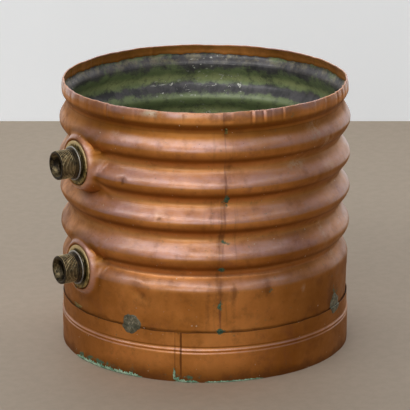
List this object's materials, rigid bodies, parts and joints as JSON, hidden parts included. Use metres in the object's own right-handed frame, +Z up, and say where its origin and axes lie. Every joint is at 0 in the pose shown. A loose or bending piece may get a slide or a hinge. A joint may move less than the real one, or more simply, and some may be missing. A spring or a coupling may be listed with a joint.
{
  "type": "copper boiler barrel",
  "caption": "Open round copper vessel with corrugated wall, inward-folded rim, base skirt and brass side pipe bosses.",
  "frame": {"origin": "on the floor, under the middle of the whole boiler with its pipe bosses; the barrel's axis stands at x = +17.9 mm", "axes": "+Z up along the barrel's axis; the pipe bosses point along -X, and the picture shows the boiler from azimuth -32"},
  "size_m": [0.4608, 0.425, 0.3933],
  "materials": {
    "copper": "old copper sheet, brown, satin, with worn bright ridges",
    "dark_copper": "copper sheet darkened by heat and damp, dull",
    "old_brass": "cast brass with dark grey-brown patina and worn crests",
    "yellow_brass": "yellow brass, dull and pitted",
    "solder": "grey-green soft solder, lumpy and dull"
  },
  "bodies": {
    "root": {"shell_foot": "copper", "shell": "copper", "shell_rim": "copper", "seam_braze": "yellow_brass", "base_skirt": "copper", "bottom_plate": "dark_copper", "bottom_braze": "yellow_brass", "solder_tack_1": "solder", "solder_tack_2": "solder", "solder_tack_3": "solder", "solder_tack_4": "solder", "upper_spigot": "old_brass", "upper_flange_ring": "yellow_brass", "upper_outer_washer": "solder", "upper_inner_washer": "yellow_brass", "upper_backnut": "yellow_brass", "lower_spigot": "old_brass", "lower_flange_ring": "yellow_brass", "lower_outer_washer": "solder", "lower_inner_washer": "yellow_brass", "lower_backnut": "yellow_brass"}
  },
  "joints": []
}
